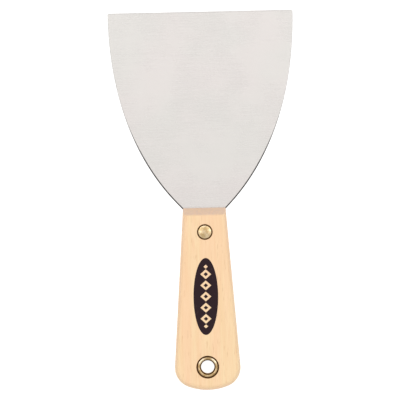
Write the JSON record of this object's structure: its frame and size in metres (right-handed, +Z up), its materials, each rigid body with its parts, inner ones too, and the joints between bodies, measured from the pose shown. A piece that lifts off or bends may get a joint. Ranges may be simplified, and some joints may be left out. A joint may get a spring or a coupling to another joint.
{
  "type": "drywall taping knife",
  "caption": "Drywall taping knife with a wide flared steel blade, full tang, riveted hardwood scales and an eyelet-lined hang hole, for spreading joint compound.",
  "frame": {"origin": "middle of the knife's bounding box, at the bottom, on the plane of the rear scale's outer face", "axes": "+X across the blade, +Y from the butt to the working edge, +Z up out of the front scale"},
  "size_m": [0.1016, 0.2074, 0.015],
  "materials": {
    "blade_steel": "polished high-carbon steel with a fine ground grain",
    "hardwood": "pale close-grained hardwood, clear satin lacquer",
    "brass": "pale polished brass",
    "black_ink": "near-black printed ink, satin"
  },
  "bodies": {
    "root": {"blade": "blade_steel", "front_scale": "hardwood", "rear_scale": "hardwood", "rivet_sleeve": "brass", "rivet_pin": "brass", "eyelet": "brass", "eyelet_washer": "brass", "ink_panel": "black_ink"}
  },
  "joints": []
}
